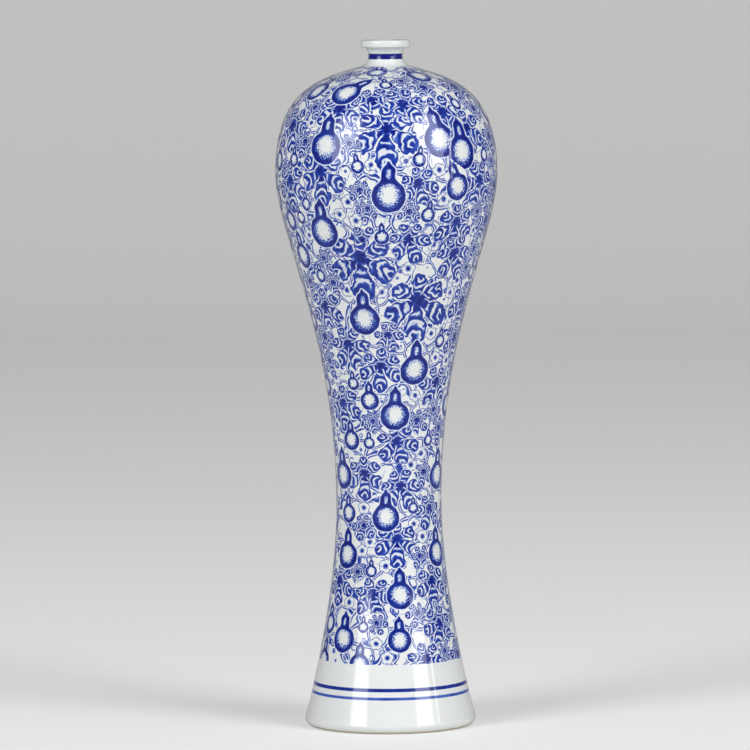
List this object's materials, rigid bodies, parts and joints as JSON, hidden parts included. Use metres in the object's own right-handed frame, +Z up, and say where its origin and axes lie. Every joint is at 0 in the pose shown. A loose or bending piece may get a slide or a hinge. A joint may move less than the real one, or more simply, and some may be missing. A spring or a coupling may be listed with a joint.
{
  "type": "porcelain vase",
  "caption": "Tall slender meiping vase with a small lipped mouth, high round shoulder, long waist and spreading foot, with an all-over blue and white gourd and vine pattern.",
  "frame": {"origin": "centre of the foot ring's standing face, on the vase's axis", "axes": "+Z up along the vase's axis, from the foot to the mouth; the side that the picture shows faces -Y"},
  "size_m": [0.1486, 0.1486, 0.46],
  "materials": {
    "white_glaze": "clear gloss glaze over white porcelain, faintly blue-green",
    "banded_glaze": "clear gloss glaze over white porcelain, with one cobalt blue line under it",
    "patterned_glaze": "cobalt blue gourd and vine pattern under clear gloss glaze"
  },
  "bodies": {
    "root": {"mouth_rim": "white_glaze", "neck_collar": "banded_glaze", "shoulder_dome": "patterned_glaze", "body_section": "patterned_glaze", "foot_section": "patterned_glaze", "base_disc": "white_glaze"}
  },
  "joints": []
}
